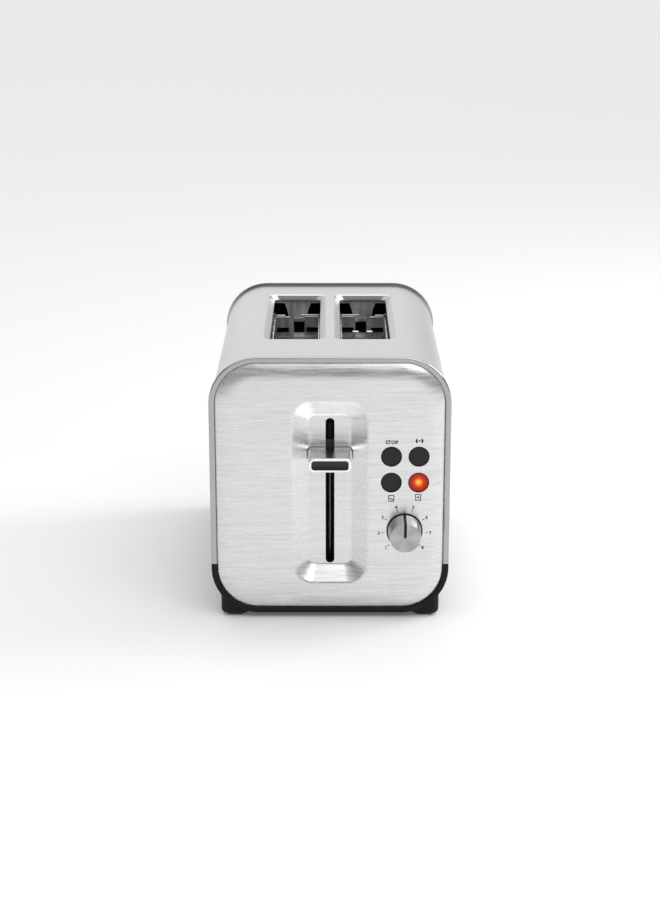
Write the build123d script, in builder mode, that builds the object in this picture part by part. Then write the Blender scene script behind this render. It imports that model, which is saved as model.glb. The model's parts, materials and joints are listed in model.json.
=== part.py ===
"""Two-slot pop-up toaster: brushed steel case, bright end frames, black base, and the works inside.

Millimetres. +X is the toaster's right seen from the lever end, +Y runs from the lever end to the rear, +Z is up.
The origin is on the floor, under the middle of the overall length. The rest position has the lever up.
"""

from build123d import *
import os

# ---- driving dimensions -------------------------------------------------------------------------
WIDTH = 190.0  # across the end frames
TOP_Z = 216.5  # top of the end frames above the floor
UNDERSIDE_Z = 4.0  # underside of the base above the floor
CORNER = 38.0  # corner radius of the end frames
FRONT_Y = -130.0  # flat middle of the front panel
REAR_Y = 150.0  # flat middle of the rear panel
SKIRT_Z = 46.0  # where steel and chrome end and the black base begins
SHEET = 0.8  # case sheet
PLATE = 0.8  # chassis sheet
SLOT_X = 28.9  # bread slot centre to the middle of the case
LEVER_DROP = 80.0  # lever travel from rest down to the latch
LEVER_LIFT = 20.0  # extra lift above rest

# ---- case section -------------------------------------------------------------------------------
SECTION_HEIGHT = TOP_Z - UNDERSIDE_Z
CENTRE_Z = (TOP_Z + UNDERSIDE_Z) / 2
MIDDLE_Y = (FRONT_Y + REAR_Y) / 2
LIP = 4.6  # width of an end frame's face
FACE_STEP = 2.0  # the end panels' middles stand proud of the end frames' faces by this
LIP_DEPTH = 3.0
SHELL_Y = FRONT_Y + FACE_STEP + LIP_DEPTH  # front edge of the case sheet
FLANGE_REACH = 12.0  # where an end frame's hidden flange ends, behind the panel's middle
STEP = 2.0  # end frames stand proud of the shell by this
FLANGE_INSET = STEP + SHEET + 0.05
SHELL_LENGTH = REAR_Y - FRONT_Y - 2 * (FACE_STEP + LIP_DEPTH)

# ---- end panels ---------------------------------------------------------------------------------
PANEL_INSET = LIP + 0.3
ROLL_RADIUS = 26.5  # radius of the panel's soft edge
ROLL_DEPTH = 3.5  # how far the edge falls back from the panel's middle
ROLL_HIDDEN = ROLL_RADIUS - (2 * ROLL_RADIUS * ROLL_DEPTH - ROLL_DEPTH**2) ** 0.5

# ---- lever channel ------------------------------------------------------------------------------
CHANNEL_Z = 106.5
CHANNEL_DEPTH = 8.0
CHANNEL_MOUTH = (60.0, 151.3, 17.0)  # width, height, corner radius
CHANNEL_FLOOR = (34.4, 124.3, 6.0)
CHANNEL_EDGE = 4.0  # radius of its soft outer edge
CHANNEL_HEEL = 2.5  # radius where its walls meet its floor
SLIT_Z = 105.6
SLIT_WIDTH = 7.0
SLIT_HEIGHT = 121.0

# ---- controls -----------------------------------------------------------------------------------
BUTTON_COLUMNS = (48.3, 69.9)
BUTTON_ROWS = (136.8, 115.4)
BUTTON_RADIUS = 7.85
BUTTON_HOLE = 8.3
BUTTON_TRAVEL = 1.5
DIAL_X = 59.2
DIAL_Z = 75.3
DIAL_FACE_RADIUS = 12.1
DIAL_BACK_RADIUS = 13.3
DIAL_REACH = 18.0  # knob face in front of the panel
SHAFT_RADIUS = 3.0

# ---- lever --------------------------------------------------------------------------------------
LEVER_Z = 136.6
LEVER_HEIGHT = 11.3
LEVER_BACK_WIDTH = 35.2
LEVER_FACE_WIDTH = 33.0
LEVER_REACH = 23.0  # lever face in front of the panel
ARM_WIDTH = 2.4
ARM_HEIGHT = 8.0

# ---- heating chamber ----------------------------------------------------------------------------
WELL_MOUTH = (50.7, 165.0, 7.0)  # width, length, corner radius of a bread slot at the case top
WELL_THROAT = (41.0, 163.0, 5.0)
WELL_Y = FRONT_Y + 153.0
WELL_BEVEL = 4.2
WELL_LIP = 1.5
FRONT_WALL_Y = FRONT_Y + 70.0
REAR_WALL_Y = FRONT_Y + 236.0
WALL_HALF_WIDTH = 70.0
WALL_TOP_Z = 207.4
ELEMENT_X = 55.0
REFLECTOR_X = 66.0
RACK_Z = 150.0  # top of the carriage tabs at rest
RACK_END_Y = FRONT_Y + 221.0
GUARD_OFFSET = 19.5  # guard plane to the slot's middle, at rest
GUARD_WIRE = 0.9  # wire radius
GUARD_TOP_Z = 199.0
GUARD_BOTTOM_Z = 64.0
GUARD_FRONT_Y = FRONT_Y + 78.0
GUARD_REAR_Y = FRONT_Y + 223.0

# ---- works behind the front panel ---------------------------------------------------------------
ROD_Y = FRONT_Y + 30.0
ROD_RADIUS = 2.5
ROD_TOP_Z = 197.2
MAGNET_X = -22.0
BOARD_Y = FRONT_Y + 46.0
TRAY_HALF_WIDTH = 58.0
TRAY_Z = 10.6
GLAND_X = 50.0
GLAND_Z = 32.0
GLAND_BORE = 3.7
LEG_X = 76.5
LEG_WIDTH = 23.0
LEG_LENGTH = 28.0
LEG_Z = 1.5
LEG_YS = (FRONT_Y + 18.0, REAR_Y - 18.0)

CASE_MIDDLE = Plane.XZ.offset(-MIDDLE_Y)  # mirrors the front end onto the rear end

os.makedirs("parts", exist_ok=True)


def write(piece, name):
    """Labels a finished piece and writes its STEP file."""
    piece.part.label = name
    export_step(piece.part, f"parts/{name}.step")


def facing_front(y, x=0.0, z=0.0):
    """A sketch plane at depth y whose normal points out of the front; extruding by a negative amount goes back."""
    return Plane(origin=(x, y, z), x_dir=(1, 0, 0), z_dir=(0, -1, 0))


def level(z):
    """A horizontal sketch plane at height z."""
    return Plane.XY.offset(z)


def section(inset, mode=Mode.ADD):
    """The case section, shrunk by inset all round, in the current sketch."""
    RectangleRounded(WIDTH - 2 * inset, SECTION_HEIGHT - 2 * inset, CORNER - inset, mode=mode)


def tube_along_case(outer_inset, inner_inset, y, length):
    """Adds a tube of the case section to the current part, from y back over length."""
    with BuildSketch(facing_front(y, z=CENTRE_Z)) as band:
        section(outer_inset)
        section(inner_inset, mode=Mode.SUBTRACT)
    extrude(band.sketch, amount=-length)


def end_frame_ring():
    """A whole end frame ring at the front: the rounded lip and the flange behind it."""
    with BuildPart() as ring:
        tube_along_case(0, LIP, SHELL_Y - LIP_DEPTH, LIP_DEPTH)
        face_edges = ring.edges().group_by(Axis.Y)[0]
        fillet(face_edges, radius=1.2)
        tube_along_case(FLANGE_INSET, LIP, SHELL_Y, FRONT_Y + FLANGE_REACH - SHELL_Y)
    return ring


def dome(inset, set_back, depth):
    """A solid end panel blank with a soft rolled edge, its flat middle set_back behind the end plane.
    Its outline is shrunk by inset, and it goes on behind the rolled edge by depth."""
    grown = ROLL_HIDDEN - inset - PANEL_INSET
    with BuildPart() as blank:
        with BuildSketch(facing_front(FRONT_Y + set_back, z=CENTRE_Z)):
            RectangleRounded(WIDTH + 2 * grown, SECTION_HEIGHT + 2 * grown, CORNER + grown)
        extrude(amount=-ROLL_RADIUS - 1)
        fillet(blank.faces().sort_by(Axis.Y)[0].edges(), radius=ROLL_RADIUS)
        with BuildSketch(facing_front(FRONT_Y - 1, z=CENTRE_Z)):
            section(PANEL_INSET + inset)
        extrude(amount=-ROLL_DEPTH - 1 - depth, mode=Mode.INTERSECT)
    return blank


def channel(grown, depth):
    """The solid that fills the lever channel, grown all round by the given amount."""
    mouth_width, mouth_height, mouth_radius = CHANNEL_MOUTH
    floor_width, floor_height, floor_radius = CHANNEL_FLOOR
    with BuildPart() as filling:
        with BuildSketch(facing_front(FRONT_Y, z=CHANNEL_Z)):
            RectangleRounded(mouth_width + 2 * grown, mouth_height + 2 * grown, mouth_radius + grown)
        with BuildSketch(facing_front(FRONT_Y + depth, z=CHANNEL_Z)):
            RectangleRounded(floor_width + 2 * grown, floor_height + 2 * grown, floor_radius + grown)
        loft()
    return filling


# ================================================================================================
# Case
# ================================================================================================
with BuildPart() as body_shell:
    tube_along_case(STEP, STEP + SHEET, SHELL_Y, SHELL_LENGTH)
    split(bisect_by=level(SKIRT_Z), keep=Keep.TOP)
    for grown, mode in ((SHEET, Mode.ADD), (0.0, Mode.SUBTRACT)):
        for x in (-SLOT_X, SLOT_X):
            mouth_z = TOP_Z - STEP
            throat_z = mouth_z - WELL_BEVEL
            with BuildPart(mode=Mode.PRIVATE) as well:
                with BuildSketch(level(mouth_z)):
                    with Locations((x, WELL_Y)):
                        RectangleRounded(*[s + 2 * grown for s in WELL_MOUTH[:2]], WELL_MOUTH[2] + grown)
                with BuildSketch(level(throat_z)):
                    with Locations((x, WELL_Y)):
                        RectangleRounded(*[s + 2 * grown for s in WELL_THROAT[:2]], WELL_THROAT[2] + grown)
                loft()
                with BuildSketch(level(throat_z)):
                    with Locations((x, WELL_Y)):
                        RectangleRounded(*[s + 2 * grown for s in WELL_THROAT[:2]], WELL_THROAT[2] + grown)
                extrude(amount=-WELL_LIP)
            add(well.part, mode=mode)
    mouths = body_shell.faces().filter_by(Axis.Z).sort_by(Axis.Z)[-1].inner_wires()
    fillet([edge for wire in mouths for edge in wire.edges()], radius=1.4)
write(body_shell, "body_shell")

with BuildPart() as front_frame:
    add(end_frame_ring().part)
    split(bisect_by=level(SKIRT_Z + 0.1), keep=Keep.TOP)
write(front_frame, "front_frame")

with BuildPart() as rear_frame:
    mirror(front_frame.part, about=CASE_MIDDLE)
write(rear_frame, "rear_frame")

with BuildPart() as front_panel:
    add(dome(0, 0, SHEET).part)
    add(channel(SHEET, CHANNEL_DEPTH + SHEET).part)
    add(channel(0, CHANNEL_DEPTH).part, mode=Mode.SUBTRACT)
    with BuildPart(mode=Mode.PRIVATE) as hollow:
        add(dome(0.7, SHEET, CHANNEL_DEPTH).part)
        add(channel(SHEET, CHANNEL_DEPTH + SHEET).part, mode=Mode.SUBTRACT)
    add(hollow.part, mode=Mode.SUBTRACT)
    for y, radius in ((FRONT_Y, CHANNEL_EDGE), (FRONT_Y + CHANNEL_DEPTH, CHANNEL_HEEL)):
        level_edges = front_panel.edges().filter_by_position(Axis.Y, y - 0.01, y + 0.01)
        channel_edges = level_edges.filter_by_position(Axis.X, -31, 31).filter_by_position(Axis.Z, 30, 183)
        fillet(channel_edges, radius=radius)
    with BuildSketch(facing_front(FRONT_Y - 1)):
        with Locations([(x, z) for x in BUTTON_COLUMNS for z in BUTTON_ROWS]):
            Circle(BUTTON_HOLE)
        with Locations((DIAL_X, DIAL_Z)):
            Circle(SHAFT_RADIUS + 2.5)
        with Locations((0, SLIT_Z)):
            SlotOverall(SLIT_HEIGHT, SLIT_WIDTH, rotation=90)
    extrude(amount=-CHANNEL_DEPTH - 3, mode=Mode.SUBTRACT)
write(front_panel, "front_panel")

with BuildPart() as rear_panel:
    with BuildPart(mode=Mode.PRIVATE) as plain_panel:
        add(dome(0, 0, SHEET).part)
        add(dome(0.7, SHEET, CHANNEL_DEPTH).part, mode=Mode.SUBTRACT)
        split(bisect_by=level(SKIRT_Z + 0.1), keep=Keep.TOP)
    mirror(plain_panel.part, about=CASE_MIDDLE)
write(rear_panel, "rear_panel")

SCREW_XS = (-50.0, 50.0)
SCREW_YS = (FRONT_Y + 24.0, REAR_Y - 52.0)

# ---- moulded base: trough, end rims, rear wall, legs, tray guides --------------------------------
BASE_WALL = 2.5
FLOOR_TOP_Z = UNDERSIDE_Z + STEP + BASE_WALL
REAR_WALL_PLASTIC = 2.5
TRAY_DOOR = (2 * TRAY_HALF_WIDTH + 6.0, 11.0)  # width, height of the opening for the crumb tray
TRAY_DOOR_Z = 15.4

with BuildPart() as base:
    with BuildSketch(facing_front(SHELL_Y, z=CENTRE_Z)):
        section(STEP)
    extrude(amount=-SHELL_LENGTH)
    split(bisect_by=level(SKIRT_Z), keep=Keep.BOTTOM)
    for y in LEG_YS:
        with BuildSketch(level(LEG_Z)):
            with Locations((-LEG_X, y), (LEG_X, y)):
                RectangleRounded(LEG_WIDTH, LEG_LENGTH, 6)
        extrude(amount=24)
    fillet(base.faces().filter_by(Axis.Z).sort_by(Axis.Z)[:4].edges(), radius=4)
    with BuildSketch(facing_front(SHELL_Y - LIP_DEPTH, z=CENTRE_Z)):
        section(STEP + BASE_WALL)
    extrude(amount=-SHELL_LENGTH - 2 * LIP_DEPTH, mode=Mode.SUBTRACT)
    # end rims carry the end frames' outline round the bottom corners
    with BuildPart(mode=Mode.PRIVATE) as rim:
        add(end_frame_ring().part)
        split(bisect_by=level(SKIRT_Z), keep=Keep.BOTTOM)
    add(rim.part)
    mirror(rim.part, about=CASE_MIDDLE)
    # upstands that the shell laps over
    for side in (-1, 1):
        with Locations((side * (WIDTH / 2 - FLANGE_INSET - 0.8), MIDDLE_Y, SKIRT_Z)):
            Box(1.6, SHELL_LENGTH - 20, 12)
    # rear wall below the rear panel, with the tray door and the cord hole
    with BuildPart(mode=Mode.PRIVATE) as wall:
        add(dome(0, 0, REAR_WALL_PLASTIC).part)
        add(dome(2, REAR_WALL_PLASTIC, CHANNEL_DEPTH).part, mode=Mode.SUBTRACT)
        split(bisect_by=level(SKIRT_Z), keep=Keep.BOTTOM)
    mirror(wall.part, about=CASE_MIDDLE)
    with BuildPart(mode=Mode.PRIVATE) as tie:
        tube_along_case(LIP - 0.2, LIP + 2.4, FRONT_Y + FACE_STEP + 1, 4)
        split(bisect_by=level(SKIRT_Z), keep=Keep.BOTTOM)
    mirror(tie.part, about=CASE_MIDDLE)
    with Locations((0, REAR_Y - 6, TRAY_DOOR_Z)):
        Box(TRAY_DOOR[0], 16, TRAY_DOOR[1], mode=Mode.SUBTRACT)
    with BuildSketch(facing_front(REAR_Y - 6)):
        with Locations((GLAND_X, GLAND_Z)):
            Circle(5.5)
    extrude(amount=-8, mode=Mode.SUBTRACT)
    # tray runners and side guides
    for side in (-1, 1):
        with Locations((side * (TRAY_HALF_WIDTH - 8), MIDDLE_Y + 36, FLOOR_TOP_Z + 0.8)):
            Box(4, 190, 2)
        with Locations((side * (TRAY_HALF_WIDTH + 2), MIDDLE_Y + 30, FLOOR_TOP_Z + 2.5)):
            Box(2, 160, 8)
    # pedestals under the rear chassis wall
    for side in (-1, 1):
        with Locations((side * REFLECTOR_X, REAR_WALL_Y, 11.5)):
            Box(6, 6, 5)
    # socket for the guide rod
    with BuildSketch(level(FLOOR_TOP_Z - 0.5)):
        with Locations((0, ROD_Y)):
            Circle(6)
    extrude(amount=10)
    with BuildSketch(level(FLOOR_TOP_Z + 1.5)):
        with Locations((0, ROD_Y)):
            Circle(ROD_RADIUS + 0.05)
    extrude(amount=12, mode=Mode.SUBTRACT)
    # air slots under the works and behind the chamber
    with BuildSketch(level(UNDERSIDE_Z)):
        for row_y in (FRONT_Y + 50, REAR_Y - 30):
            with Locations((0, row_y)):
                with GridLocations(12, 0, 7, 1):
                    SlotOverall(22, 4, rotation=90)
    extrude(amount=8, mode=Mode.SUBTRACT)
    # counterbored screw holes
    for radius, depth in ((3.3, 1.2), (1.55, 6)):
        with BuildSketch(level(UNDERSIDE_Z + STEP)):
            with Locations([(x, y) for x in SCREW_XS for y in SCREW_YS]):
                Circle(radius)
        extrude(amount=depth, mode=Mode.SUBTRACT)
    # pockets for the foot pads
    for y in LEG_YS:
        with BuildSketch(level(LEG_Z)):
            with Locations((-LEG_X, y), (LEG_X, y)):
                RectangleRounded(LEG_WIDTH - 9, LEG_LENGTH - 9, 3)
        extrude(amount=1, mode=Mode.SUBTRACT)
write(base, "base")

with BuildPart() as foot_pads:
    with BuildSketch(level(0)):
        with Locations([(x, y) for x in (-LEG_X, LEG_X) for y in LEG_YS]):
            RectangleRounded(LEG_WIDTH - 9.4, LEG_LENGTH - 9.4, 2.8)
    extrude(amount=LEG_Z + 1)
    fillet(foot_pads.edges().group_by(Axis.Z)[0], radius=0.6)
write(foot_pads, "foot_pads")

with BuildPart() as base_screws:
    with BuildSketch(level(UNDERSIDE_Z + STEP + 0.3)):
        with Locations([(x, y) for x in SCREW_XS for y in SCREW_YS]):
            Circle(3)
    extrude(amount=0.9)
    fillet(base_screws.edges().group_by(Axis.Z)[0], radius=0.5)
    with BuildSketch(level(UNDERSIDE_Z + STEP + 1)):
        with Locations([(x, y) for x in SCREW_XS for y in SCREW_YS]):
            Circle(1.5)
    extrude(amount=3)
    with Locations([(x, y, UNDERSIDE_Z + STEP + 0.3) for x in SCREW_XS for y in SCREW_YS]):
        Box(3.6, 0.8, 1, mode=Mode.SUBTRACT)
        Box(0.8, 3.6, 1, mode=Mode.SUBTRACT)
write(base_screws, "base_screws")

# ---- moulded carriers behind the end panels ------------------------------------------------------
CARRIER_Y = FRONT_Y + 9.6
CARRIER_THICK = 2.5
PCB_Y = FRONT_Y + 24.0
BOARD_Z = 104.0

with BuildPart() as front_carrier:
    with BuildSketch(facing_front(CARRIER_Y, z=CENTRE_Z)):
        section(PANEL_INSET)
    extrude(amount=-CARRIER_THICK)
    tube_along_case(PANEL_INSET, PANEL_INSET + 2, FRONT_Y + ROLL_DEPTH + SHEET + 0.2, 6)
    with BuildSketch(facing_front(FRONT_Y + 1.2)):
        with Locations([(x, z) for x in BUTTON_COLUMNS for z in BUTTON_ROWS]):
            Circle(10)
    extrude(amount=-9)
    with BuildSketch(facing_front(FRONT_Y)):
        with Locations([(x, z) for x in BUTTON_COLUMNS for z in BUTTON_ROWS]):
            Circle(BUTTON_RADIUS + 0.2)
        with Locations((DIAL_X, DIAL_Z)):
            Circle(6)
        with Locations((0, SLIT_Z)):
            RectangleRounded(24, SLIT_HEIGHT + 9, 3)
    extrude(amount=-15, mode=Mode.SUBTRACT)
    # posts that the control board sits on
    with BuildSketch(facing_front(CARRIER_Y + 1)):
        with Locations((DIAL_X, BOARD_Z)):
            with GridLocations(42, 84, 2, 2):
                Circle(2.5)
    extrude(amount=CARRIER_Y + 1 - PCB_Y)
write(front_carrier, "front_carrier")

with BuildPart() as rear_carrier:
    with BuildPart(mode=Mode.PRIVATE) as plain_carrier:
        with BuildSketch(facing_front(CARRIER_Y, z=CENTRE_Z)):
            section(PANEL_INSET)
        extrude(amount=-CARRIER_THICK)
        tube_along_case(PANEL_INSET, PANEL_INSET + 2, FRONT_Y + ROLL_DEPTH + SHEET + 0.2, 6)
        with BuildSketch(facing_front(CARRIER_Y, z=CENTRE_Z + 16)):
            RectangleRounded(120, 96, 10)
        extrude(amount=-CARRIER_THICK, mode=Mode.SUBTRACT)
        split(bisect_by=level(SKIRT_Z + 0.2), keep=Keep.TOP)
    mirror(plain_carrier.part, about=CASE_MIDDLE)
write(rear_carrier, "rear_carrier")

with BuildPart() as slit_liner:
    with BuildSketch(facing_front(FRONT_Y + CHANNEL_DEPTH + SHEET + 0.1, z=SLIT_Z)):
        RectangleRounded(23.4, SLIT_HEIGHT + 8.4, 2.7)
        SlotOverall(SLIT_HEIGHT - 1, SLIT_WIDTH - 0.6, rotation=90, mode=Mode.SUBTRACT)
    extrude(amount=-3.2)
write(slit_liner, "slit_liner")

# ================================================================================================
# Controls
# ================================================================================================
BUTTON_FACE_Y = FRONT_Y + 0.6
BUTTON_NAMES = (("stop_button", 0, 0), ("bagel_button", 1, 0), ("reheat_button", 0, 1), ("defrost_button", 1, 1))

for name, column, row in BUTTON_NAMES:
    centre = (BUTTON_COLUMNS[column], BUTTON_ROWS[row])
    with BuildPart() as button:
        with BuildSketch(facing_front(BUTTON_FACE_Y)):
            with Locations(centre):
                Circle(BUTTON_RADIUS)
        extrude(amount=-12)
        fillet(button.faces().sort_by(Axis.Y)[0].edges(), radius=0.7)
        with BuildSketch(facing_front(CARRIER_Y + CARRIER_THICK + 0.3)):
            with Locations(centre):
                Circle(9.5)
        extrude(amount=-1.5)
        with BuildSketch(facing_front(CARRIER_Y + CARRIER_THICK + 1)):
            with Locations(centre):
                Circle(2.2)
        extrude(amount=-5)
    write(button, name)

with BuildPart() as control_board:
    with BuildSketch(facing_front(PCB_Y, x=DIAL_X, z=BOARD_Z)):
        RectangleRounded(50, 92, 2)
    extrude(amount=-1.6)
write(control_board, "control_board")

with BuildPart() as button_switches:
    with BuildSketch(facing_front(PCB_Y - 3.4)):
        with Locations([(x, z) for x in BUTTON_COLUMNS for z in BUTTON_ROWS]):
            Rectangle(6.2, 6.2)
    extrude(amount=-3.35)
    with BuildSketch(facing_front(PCB_Y - 4.2)):
        with Locations([(x, z) for x in BUTTON_COLUMNS for z in BUTTON_ROWS]):
            Circle(1.7)
    extrude(amount=-1)
write(button_switches, "button_switches")

with BuildPart() as indicator_leds:
    with BuildSketch(facing_front(PCB_Y - 4)):
        with Locations([(x + 6, z) for x, z in ((BUTTON_COLUMNS[1], r) for r in BUTTON_ROWS)]):
            Circle(1.5)
        with Locations((BUTTON_COLUMNS[0] - 6, BUTTON_ROWS[1])):
            Circle(1.5)
    extrude(amount=-3.95)
    fillet(indicator_leds.faces().sort_by(Axis.Y)[:3].edges(), radius=1.2)
write(indicator_leds, "indicator_leds")

with BuildPart() as potentiometer:
    with BuildSketch(facing_front(PCB_Y - 7, x=DIAL_X, z=DIAL_Z)):
        RectangleRounded(17, 17, 1.5)
    extrude(amount=-6.95)
    with BuildSketch(facing_front(PCB_Y - 13, x=DIAL_X, z=DIAL_Z)):
        Circle(4.8)
    extrude(amount=-7)
    with BuildSketch(facing_front(PCB_Y - 14, x=DIAL_X, z=DIAL_Z)):
        Circle(SHAFT_RADIUS + 0.05)
    extrude(amount=-11, mode=Mode.SUBTRACT)
write(potentiometer, "potentiometer")

with BuildPart() as dial_shaft:
    with BuildSketch(facing_front(FRONT_Y - 11.8, x=DIAL_X, z=DIAL_Z)):
        Circle(SHAFT_RADIUS)
    extrude(amount=-32.5)
    with BuildSketch(facing_front(FRONT_Y - 11.8, x=DIAL_X, z=DIAL_Z - SHAFT_RADIUS)):
        Rectangle(8, 2)
    extrude(amount=-9, mode=Mode.SUBTRACT)
write(dial_shaft, "dial_shaft")

with BuildPart() as dial_bezel:
    with BuildSketch(facing_front(FRONT_Y - 0.9, x=DIAL_X, z=DIAL_Z)):
        Circle(DIAL_BACK_RADIUS + 1.1)
        Circle(DIAL_BACK_RADIUS - 3.3, mode=Mode.SUBTRACT)
    extrude(amount=-0.9)
    fillet(dial_bezel.edges().group_by(Axis.Y)[0], radius=0.3)
write(dial_bezel, "dial_bezel")

POINTER_WIDTH = 2.2
POINTER_DEPTH = 0.7

with BuildPart() as pointer_groove:
    # front strip from the middle of the face to the rim, then down the knob's side
    with Locations((DIAL_X, FRONT_Y - DIAL_REACH + POINTER_DEPTH / 2, DIAL_Z + 8)):
        Box(POINTER_WIDTH, POINTER_DEPTH, 16)
    with Locations((DIAL_X, FRONT_Y - DIAL_REACH / 2, DIAL_Z + DIAL_FACE_RADIUS + 1.5 - POINTER_DEPTH)):
        Box(POINTER_WIDTH, DIAL_REACH, 3)

with BuildPart() as knob_blank:
    with BuildSketch(facing_front(FRONT_Y - DIAL_REACH, x=DIAL_X, z=DIAL_Z)):
        Circle(DIAL_FACE_RADIUS)
    with BuildSketch(facing_front(FRONT_Y - 1.3, x=DIAL_X, z=DIAL_Z)):
        Circle(DIAL_BACK_RADIUS)
    loft()
    fillet(knob_blank.edges().group_by(Axis.Y)[0], radius=0.6)

with BuildPart() as browning_knob:
    add(knob_blank.part)
    add(pointer_groove.part, mode=Mode.SUBTRACT)
    with BuildSketch(facing_front(FRONT_Y - 4, x=DIAL_X, z=DIAL_Z)):
        Circle(10.5)
        Circle(5.5, mode=Mode.SUBTRACT)
    extrude(amount=-4, mode=Mode.SUBTRACT)
    with BuildSketch(facing_front(FRONT_Y - 12, x=DIAL_X, z=DIAL_Z)):
        Circle(SHAFT_RADIUS + 0.05)
    extrude(amount=-12, mode=Mode.SUBTRACT)
write(browning_knob, "browning_knob")

with BuildPart() as knob_pointer:
    add(pointer_groove.part)
    add(knob_blank.part, mode=Mode.INTERSECT)
write(knob_pointer, "knob_pointer")

# ================================================================================================
# Lever and carriage: everything here rides up and down on the guide rod
# ================================================================================================
LEVER_BACK_Y = FRONT_Y + CHANNEL_DEPTH - 1.0
LEVER_FACE_Y = FRONT_Y - LEVER_REACH
INSERT_WIDTH = 29.0
INSERT_HEIGHT = 7.6

with BuildPart() as lever_knob:
    with BuildSketch(facing_front(LEVER_BACK_Y, z=LEVER_Z)):
        RectangleRounded(LEVER_BACK_WIDTH, LEVER_HEIGHT, 3.8)
    with BuildSketch(facing_front(LEVER_FACE_Y, z=LEVER_Z)):
        RectangleRounded(LEVER_FACE_WIDTH, LEVER_HEIGHT, 3.8)
    loft()
    fillet(lever_knob.edges().group_by(Axis.Y)[0], radius=0.8)
    with BuildSketch(facing_front(LEVER_FACE_Y, z=LEVER_Z)):
        RectangleRounded(INSERT_WIDTH, INSERT_HEIGHT, 2.4)
    extrude(amount=-2.5, mode=Mode.SUBTRACT)
    with BuildSketch(facing_front(FRONT_Y - 10, z=LEVER_Z)):
        Rectangle(ARM_WIDTH + 0.1, ARM_HEIGHT + 0.1)
    extrude(amount=-20, mode=Mode.SUBTRACT)
write(lever_knob, "lever_knob")

with BuildPart() as lever_insert:
    with BuildSketch(facing_front(LEVER_FACE_Y + 0.3, z=LEVER_Z)):
        RectangleRounded(INSERT_WIDTH - 0.1, INSERT_HEIGHT - 0.1, 2.35)
    extrude(amount=-2.2)
    # a shallow finger groove along the face
    with BuildSketch(Plane.YZ.offset(-INSERT_WIDTH / 2)):
        with Locations((LEVER_FACE_Y - 7.0, LEVER_Z)):
            Circle(8.2)
    extrude(amount=INSERT_WIDTH, mode=Mode.SUBTRACT)
write(lever_insert, "lever_insert")

with BuildPart() as lever_arm:
    with BuildSketch(facing_front(FRONT_Y - 9.8, z=LEVER_Z)):
        Rectangle(ARM_WIDTH, ARM_HEIGHT)
    extrude(amount=-34)
    with BuildSketch(facing_front(FRONT_Y + 22.2, z=LEVER_Z)):
        Rectangle(12, 16)
    extrude(amount=-2)
write(lever_arm, "lever_arm")

SLIDER_BOTTOM_Z = 128.0

with BuildPart() as carriage_slider:
    with BuildSketch(level(SLIDER_BOTTOM_Z)):
        with Locations((0, ROD_Y)):
            Circle(5.5)
    extrude(amount=30)
    with Locations((0, ROD_Y - 2.9, LEVER_Z)):
        Box(12, 5.8, 16)
    with Locations((0, ROD_Y + 3, 146)):
        Box(16, 6, 16)
    with BuildSketch(level(SLIDER_BOTTOM_Z)):
        with Locations((0, ROD_Y)):
            Circle(ROD_RADIUS + 0.06)
    extrude(amount=30, mode=Mode.SUBTRACT)
write(carriage_slider, "carriage_slider")

CARRIAGE_Y = ROD_Y + 6.0
TAB_THICK = 1.5

with BuildPart() as carriage_bracket:
    with BuildSketch(facing_front(CARRIAGE_Y, z=146)):
        RectangleRounded(72, 16, 2)
    extrude(amount=-TAB_THICK)
    # horizontal tabs that carry the bread racks, and a smaller one for the spring
    for x in (-SLOT_X, SLOT_X):
        with Locations((x, FRONT_Y + 52, RACK_Z - TAB_THICK / 2)):
            Box(10, 32, TAB_THICK)
    with Locations((14, CARRIAGE_Y + 6, RACK_Z - TAB_THICK / 2)):
        Box(8, 12, TAB_THICK)
    # strap down to the latch plate, and the finger that closes the mains switch
    with Locations((MAGNET_X, CARRIAGE_Y + TAB_THICK / 2, 132)):
        Box(8, TAB_THICK, 20)
    with Locations((24, CARRIAGE_Y + TAB_THICK / 2, 132)):
        Box(6, TAB_THICK, 16)
write(carriage_bracket, "carriage_bracket")

with BuildPart() as latch_plate:
    with Locations((MAGNET_X, CARRIAGE_Y + 3.6, 120.5)):
        Box(16, 9, 3)
write(latch_plate, "latch_plate")


RACK_START_Y = FRONT_Y + 58.0
RACK_STRIP_Z = RACK_Z + TAB_THICK / 2
RACK_TINE_X = 9.4

for side, hand in ((-1, "left"), (1, "right")):
    rack_x = side * SLOT_X
    bar_ys = [FRONT_WALL_Y + 14 + 26 * i for i in range(6)]
    with BuildPart() as bread_rack:
        with Locations((rack_x, (RACK_START_Y + RACK_END_Y) / 2, RACK_STRIP_Z)):
            Box(7, RACK_END_Y - RACK_START_Y, TAB_THICK)
        with Locations([(rack_x, y, RACK_STRIP_Z) for y in bar_ys]):
            Box(20, 4, TAB_THICK)
        with Locations([(rack_x + tine * RACK_TINE_X, y, RACK_STRIP_Z + 2.2) for y in bar_ys for tine in (-1, 1)]):
            Box(1.2, 4, 6)
    write(bread_rack, f"bread_rack_{hand}")

# upright wires that hold a roll rack, on the right-hand rack's last bar
HOOK_Y = FRONT_WALL_Y + 14 + 26 * 5
HOOK_TOP_Z = RACK_Z + 36.0

with BuildPart() as rack_hooks:
    for side in (-1, 1):
        hook_x = SLOT_X + side * (RACK_TINE_X - 1.6)
        with BuildSketch(level(RACK_Z + TAB_THICK)):
            with Locations((hook_x, HOOK_Y)):
                Circle(GUARD_WIRE)
        extrude(amount=HOOK_TOP_Z - RACK_Z - TAB_THICK)
        with Locations((hook_x - side * 1.6, HOOK_Y, HOOK_TOP_Z - 0.4)):
            Cylinder(GUARD_WIRE, 5, rotation=(0, 90, 0))
write(rack_hooks, "rack_hooks")

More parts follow.
